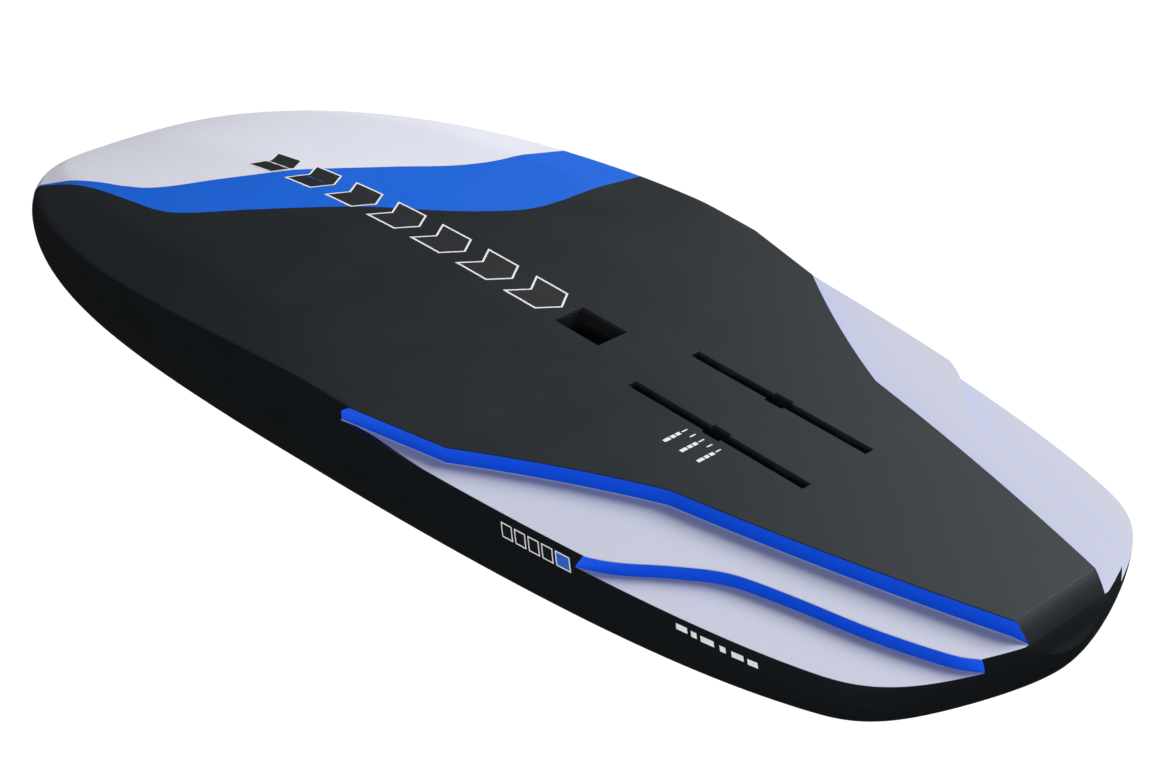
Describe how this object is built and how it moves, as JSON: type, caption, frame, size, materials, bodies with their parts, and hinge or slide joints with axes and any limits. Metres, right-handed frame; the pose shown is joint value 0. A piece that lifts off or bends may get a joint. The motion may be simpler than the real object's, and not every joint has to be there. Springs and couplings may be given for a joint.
{
  "type": "wing-foil board",
  "caption": "Foam-cored wing-foil board with a stepped bottom, twin foil tracks, recessed carry handle, deck pads, vent and leash plug.",
  "frame": {"origin": "under the middle of the board's length and width, at the height of the deck's lowest point, with the board lying deck down", "axes": "+X aft to the tail, +Y to the port rail, +Z out of the bottom, square to the flat where the foil bolts on"},
  "size_m": [1.6755, 0.617, 0.1951],
  "materials": {
    "bottom_paint": "matt lacquer over sandwich laminate, fine grain; black with blue step walls, pale ramps and a white and blue nose",
    "deck_paint": "matt lacquer over sandwich laminate",
    "core_foam": "expanded polystyrene beads",
    "block_foam": "high-density PVC foam",
    "moulded_plastic": "moulded glass-filled nylon",
    "stainless": "machined marine steel",
    "brass": "turned brass",
    "ring_rubber": "nitrile rubber",
    "membrane": "expanded PTFE sheet",
    "eva_pad": "closed-cell EVA with fine diamond grooves"
  },
  "bodies": {
    "board": {"bottom_skin": "bottom_paint", "rail_skin": "deck_paint", "deck_skin": "deck_paint", "foam_core": "core_foam", "mast_block": "block_foam", "track_port": "moulded_plastic", "track_starboard": "moulded_plastic", "handle_cup": "moulded_plastic", "vent_housing": "moulded_plastic", "vent_membrane": "membrane", "leash_cup": "moulded_plastic", "leash_bar": "stainless", "deck_pad_front": "eva_pad", "deck_pad_middle": "eva_pad", "deck_pad_tail": "eva_pad", "tail_kick": "eva_pad", "strap_insert_front_port_inner": "brass", "strap_insert_front_port_outer": "brass", "strap_insert_front_starboard_inner": "brass", "strap_insert_front_starboard_outer": "brass", "strap_insert_rear_port": "brass", "strap_insert_rear_starboard": "brass"},
    "nut_port_front": {"t_nut_port_front": "stainless"},
    "nut_port_rear": {"t_nut_port_rear": "stainless"},
    "nut_starboard_front": {"t_nut_starboard_front": "stainless"},
    "nut_starboard_rear": {"t_nut_starboard_rear": "stainless"},
    "vent_ring": {"vent_o_ring": "ring_rubber"},
    "vent_cap": {"vent_screw": "moulded_plastic"}
  },
  "joints": [
    {"name": "nut_slide_port_front", "type": "slide", "parent": "board", "child": "nut_port_front", "axis": [1, 0, 0], "range_m": [-0.0295, 0.0715]},
    {"name": "nut_slide_port_rear", "type": "slide", "parent": "board", "child": "nut_port_rear", "axis": [1, 0, 0], "range_m": [-0.0715, 0.0295]},
    {"name": "nut_slide_starboard_front", "type": "slide", "parent": "board", "child": "nut_starboard_front", "axis": [1, 0, 0], "range_m": [-0.0295, 0.0715]},
    {"name": "nut_slide_starboard_rear", "type": "slide", "parent": "board", "child": "nut_starboard_rear", "axis": [1, 0, 0], "range_m": [-0.0715, 0.0295]},
    {"name": "vent_lift", "type": "slide", "parent": "board", "child": "vent_ring", "axis": [0, 0, -1], "range_m": [0, 0.0025]},
    {"name": "vent_turn", "type": "hinge", "parent": "vent_ring", "child": "vent_cap", "pos_m": [-0.395, 0, 0.036], "axis": [0, 0, -1], "range_deg": [0, 740]}
  ],
  "couplings": [
    {"joint": "vent_turn", "follows": "vent_lift", "rad_per_m": 5026.5}
  ]
}
